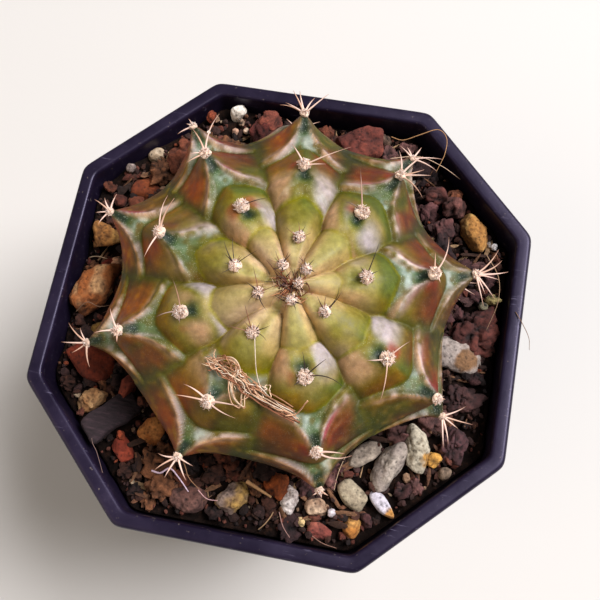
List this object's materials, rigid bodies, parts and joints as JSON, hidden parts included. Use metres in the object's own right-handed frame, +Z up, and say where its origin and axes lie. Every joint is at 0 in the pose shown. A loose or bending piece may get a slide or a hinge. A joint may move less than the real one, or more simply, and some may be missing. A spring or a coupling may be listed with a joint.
{
  "type": "potted cactus",
  "caption": "Chin cactus with woolly areoles and a dried flower, in a black plastic nursery pot filled with bark, lava and pumice mix",
  "frame": {"origin": "centre of the pot's underside, on the plane of its foot ring", "axes": "+Z up along the pot's axis; +X and +Y square to its long sides; the picture looks down from between -Y and +X"},
  "size_m": [0.075, 0.075, 0.0886],
  "materials": {
    "black_plastic": "satin",
    "potting_mix": "matte",
    "cactus_skin": "satin",
    "dried_petals": "matte",
    "bark": "matte",
    "lava_red": "matte",
    "lava_brown": "matte",
    "fired_clay": "matte",
    "pumice_ochre": "matte",
    "pumice_tan": "matte",
    "pumice_cream": "matte",
    "pumice_grey": "matte",
    "perlite": "matte"
  },
  "bodies": {
    "root": {"pot": "black_plastic", "potting_mix": "potting_mix", "cactus": "cactus_skin", "dried_flower": "dried_petals", "bark_chip": "bark", "lava_red_north": "lava_red", "pebble_white_north": "perlite", "pebble_cream_northwest": "pumice_cream", "clay_orange_northwest": "fired_clay", "pumice_ochre_west": "pumice_ochre", "pumice_tan_west": "pumice_ochre", "pumice_yellow_west": "pumice_ochre", "clay_shard_west": "fired_clay", "pumice_tan_southwest": "pumice_tan", "clay_red_west": "fired_clay", "clay_orange_southwest": "pumice_ochre", "clay_red_southwest": "fired_clay", "lava_brown_south": "lava_brown", "pumice_grey_south": "pumice_grey", "perlite_south": "perlite", "pumice_tan_south": "pumice_tan", "clay_pink_south": "lava_red", "pumice_green_south": "pumice_grey", "pumice_orange_south": "pumice_ochre", "pebble_two_tone_southeast": "perlite", "pumice_grey_southeast": "pumice_grey", "pumice_cream_southeast": "pumice_cream", "pumice_long_southeast": "pumice_grey", "pumice_grey_east": "pumice_cream", "lava_red_east": "lava_red", "lava_dark_east": "lava_brown", "lava_purple_east": "lava_brown", "pumice_yellow_northeast": "pumice_ochre", "lava_brown_northeast": "lava_brown", "lava_red_northeast": "lava_red"}
  },
  "joints": []
}
